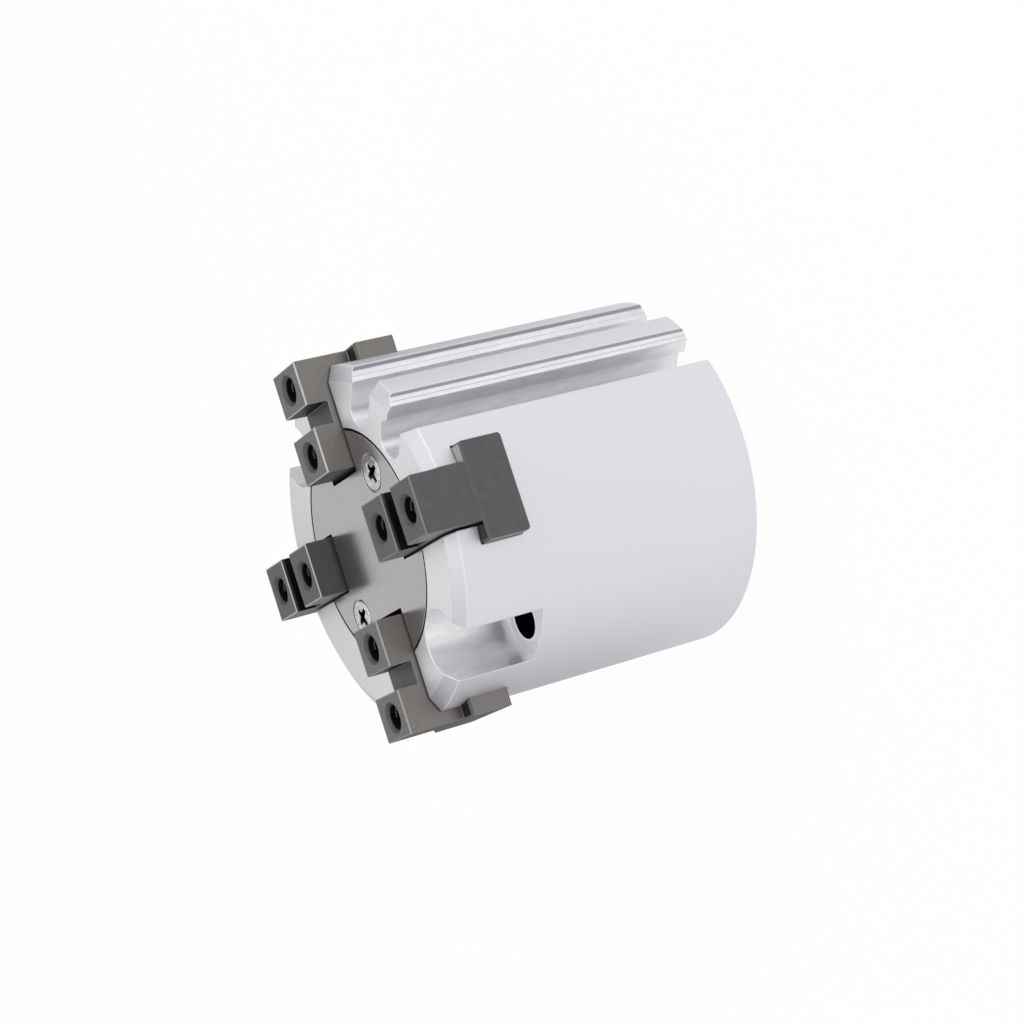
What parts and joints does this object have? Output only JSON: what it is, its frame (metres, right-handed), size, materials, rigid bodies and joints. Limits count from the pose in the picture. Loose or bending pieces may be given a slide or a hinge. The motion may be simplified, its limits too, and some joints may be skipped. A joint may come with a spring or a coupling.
{
  "type": "four-jaw concentric gripper",
  "caption": "Round pneumatic gripper whose T-section jaws slide in and out together, driven by a wedge cam on a piston.",
  "frame": {"origin": "centre of the rear mounting face, on the gripper's axis", "axes": "+Z along the axis towards the jaws, +X towards jaw_right, +Y towards jaw_top"},
  "size_m": [0.066, 0.066, 0.064],
  "materials": {
    "anodised_aluminium": "satin silver anodised, finely bead-blasted",
    "ground_steel": "ground, dull",
    "bright_steel": "bright zinc plated",
    "dark_steel": "hardened, dark satin",
    "cam_steel": "hardened and ground",
    "black_oxide_steel": "black oxide",
    "plain_aluminium": "turned, hard anodised",
    "bonded_magnet": "matt, dark",
    "wear_plastic": "natural acetal",
    "seal_rubber": "matt nitrile",
    "bumper_rubber": "matt polyurethane",
    "spring_steel": "phosphated"
  },
  "bodies": {
    "housing": {"body": "anodised_aluminium", "end_plate": "ground_steel", "plate_screws": "bright_steel", "rod_seal": "seal_rubber", "front_bumper": "bumper_rubber", "rear_bumper": "bumper_rubber", "cap": "plain_aluminium", "cap_seal": "seal_rubber", "retaining_ring": "spring_steel"},
    "piston_unit": {"cam": "cam_steel", "cam_bolt": "black_oxide_steel", "cam_washer": "bright_steel", "cam_pin": "bright_steel", "piston": "plain_aluminium", "magnet": "bonded_magnet", "magnet_holder": "plain_aluminium", "holder_screws": "black_oxide_steel", "piston_seal": "seal_rubber", "wear_ring": "wear_plastic"},
    "jaw_right": {"jaw_right": "dark_steel"},
    "jaw_top": {"jaw_top": "dark_steel"},
    "jaw_left": {"jaw_left": "dark_steel"},
    "jaw_bottom": {"jaw_bottom": "dark_steel"}
  },
  "joints": [
    {"name": "piston_slide", "type": "slide", "parent": "housing", "child": "piston_unit", "axis": [0, 0, 1], "range_m": [0, 0.008]},
    {"name": "jaw_right_slide", "type": "slide", "parent": "housing", "child": "jaw_right", "axis": [1, 0, 0], "range_m": [0, 0.004]},
    {"name": "jaw_top_slide", "type": "slide", "parent": "housing", "child": "jaw_top", "axis": [0, 1, 0], "range_m": [0, 0.004]},
    {"name": "jaw_left_slide", "type": "slide", "parent": "housing", "child": "jaw_left", "axis": [-1, 0, 0], "range_m": [0, 0.004]},
    {"name": "jaw_bottom_slide", "type": "slide", "parent": "housing", "child": "jaw_bottom", "axis": [0, -1, 0], "range_m": [0, 0.004]}
  ],
  "couplings": [
    {"joint": "jaw_right_slide", "follows": "piston_slide", "ratio": 0.5},
    {"joint": "jaw_top_slide", "follows": "piston_slide", "ratio": 0.5},
    {"joint": "jaw_left_slide", "follows": "piston_slide", "ratio": 0.5},
    {"joint": "jaw_bottom_slide", "follows": "piston_slide", "ratio": 0.5}
  ]
}
